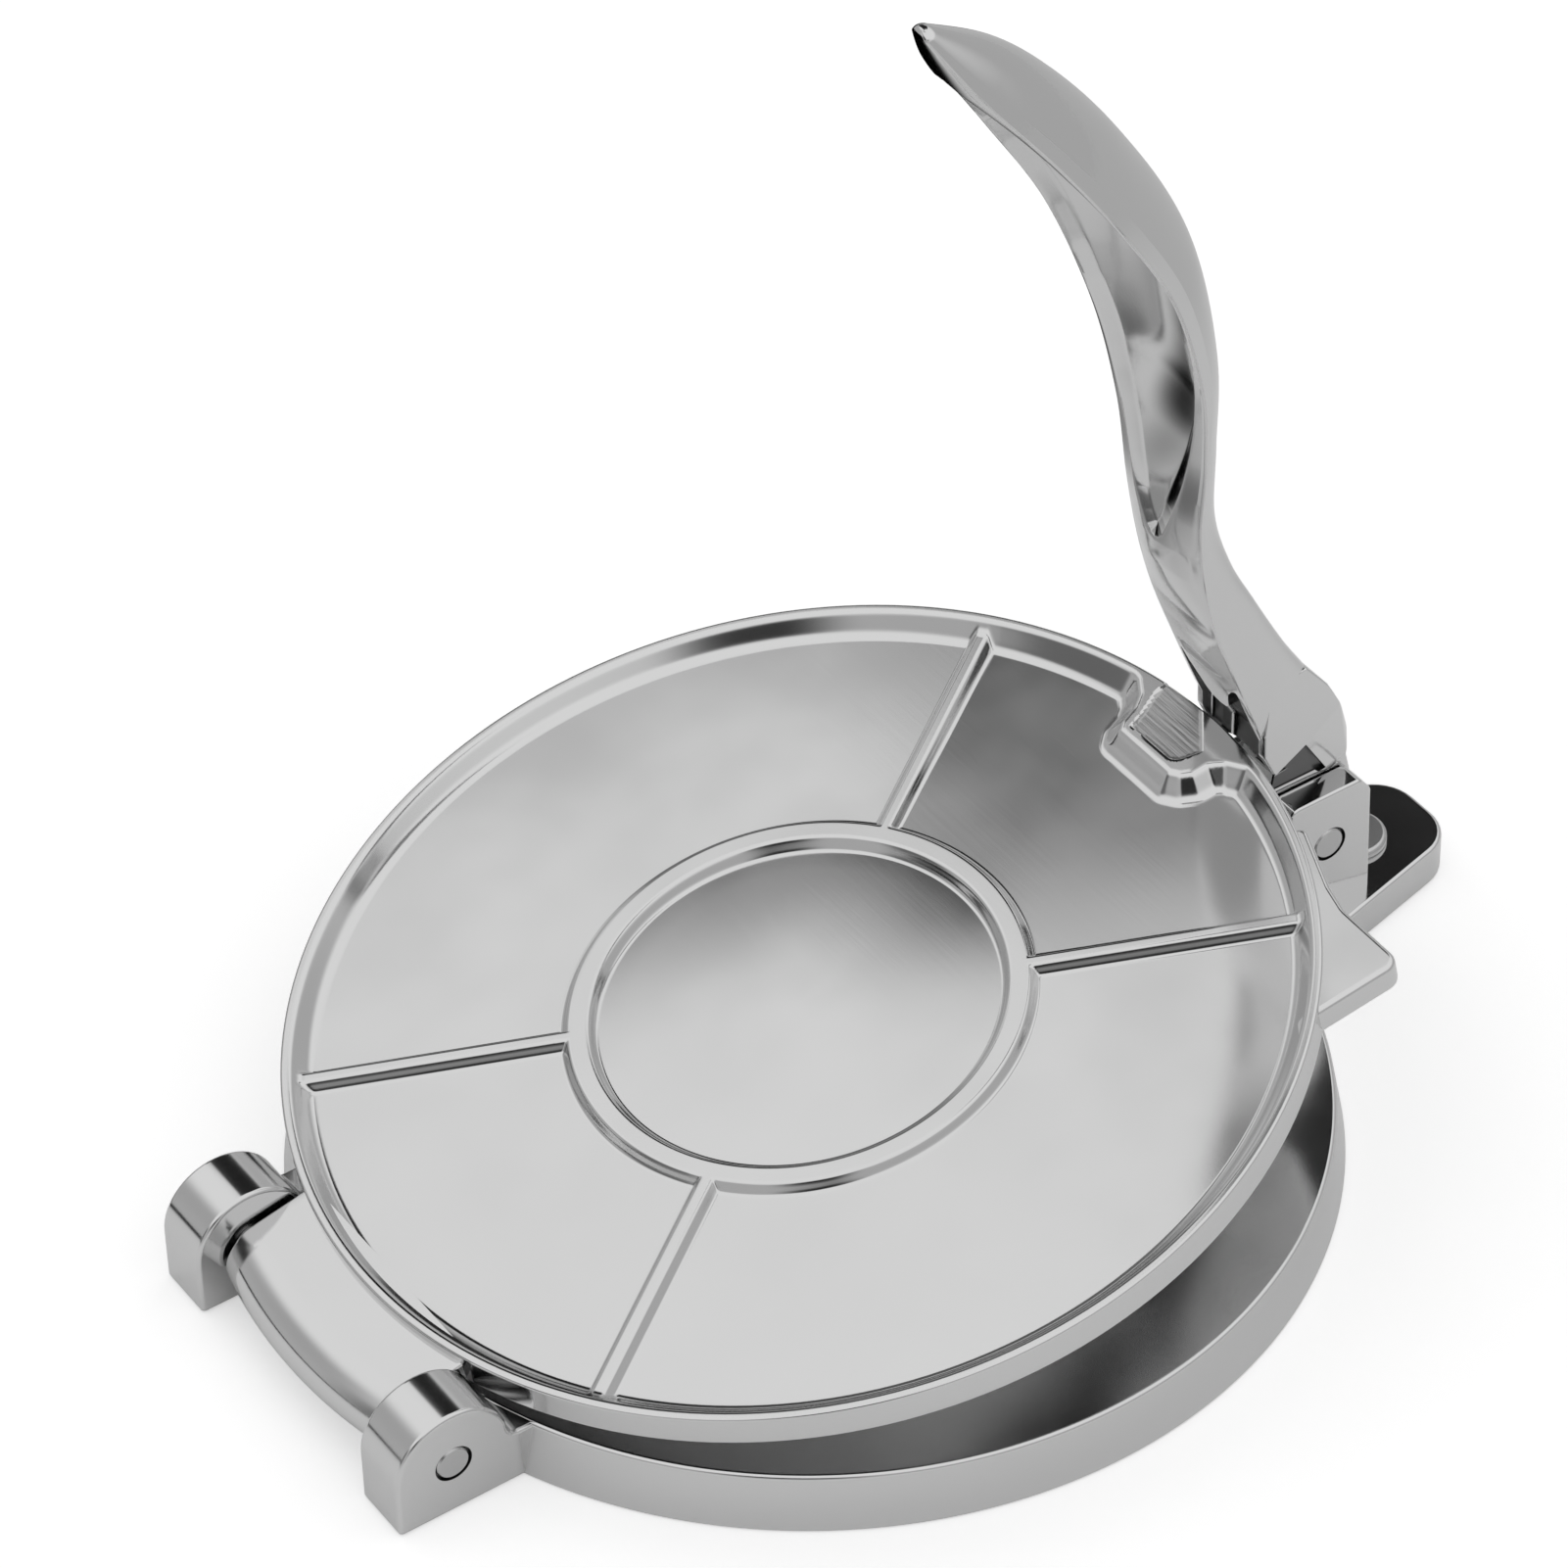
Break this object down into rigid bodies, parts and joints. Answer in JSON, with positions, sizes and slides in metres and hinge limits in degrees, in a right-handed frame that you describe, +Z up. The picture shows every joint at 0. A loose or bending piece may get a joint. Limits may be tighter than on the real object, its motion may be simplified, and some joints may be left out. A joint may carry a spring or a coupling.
{
  "type": "tortilla press",
  "caption": "Hand press for flat bread: round cast lower and upper plates on a rear hinge, with a lever in a clevis at the front that bears on a pad on the upper plate.",
  "frame": {"origin": "on the table under the centre of the two plates", "axes": "+X from the rear hinge towards the lever, +Z up, +Y to the left seen from the rear hinge"},
  "size_m": [0.2702, 0.205, 0.2501],
  "materials": {
    "polished_casting": "polished",
    "pin_steel": "satin"
  },
  "bodies": {
    "base": {"base_plate": "polished_casting", "stop_stud": "pin_steel"},
    "hinge_pins": {"hinge_pin_right": "pin_steel", "hinge_pin_left": "pin_steel"},
    "upper_plate": {"upper_plate": "polished_casting"},
    "lever_pin": {"lever_pin": "pin_steel"},
    "lever": {"lever": "polished_casting"}
  },
  "joints": [
    {"name": "plate_stage", "type": "hinge", "parent": "base", "child": "hinge_pins", "pos_m": [-0.1085, 0, 0.0122], "axis": [0, -1, 0], "range_deg": [-11.2, 0]},
    {"name": "plate_opening", "type": "hinge", "parent": "hinge_pins", "child": "upper_plate", "pos_m": [-0.1085, 0, 0.0122], "axis": [0, -1, 0], "range_deg": [0, 90]},
    {"name": "lever_swing", "type": "hinge", "parent": "base", "child": "lever_pin", "pos_m": [0.1153, 0, 0.025], "axis": [0, 1, 0], "range_deg": [0, 106]},
    {"name": "lever_press", "type": "hinge", "parent": "lever_pin", "child": "lever", "pos_m": [0.1153, 0, 0.025], "axis": [0, 1, 0], "range_deg": [-31, 0]}
  ],
  "couplings": [
    {"joint": "plate_stage", "follows": "lever_press", "ratio": 0.36129}
  ]
}
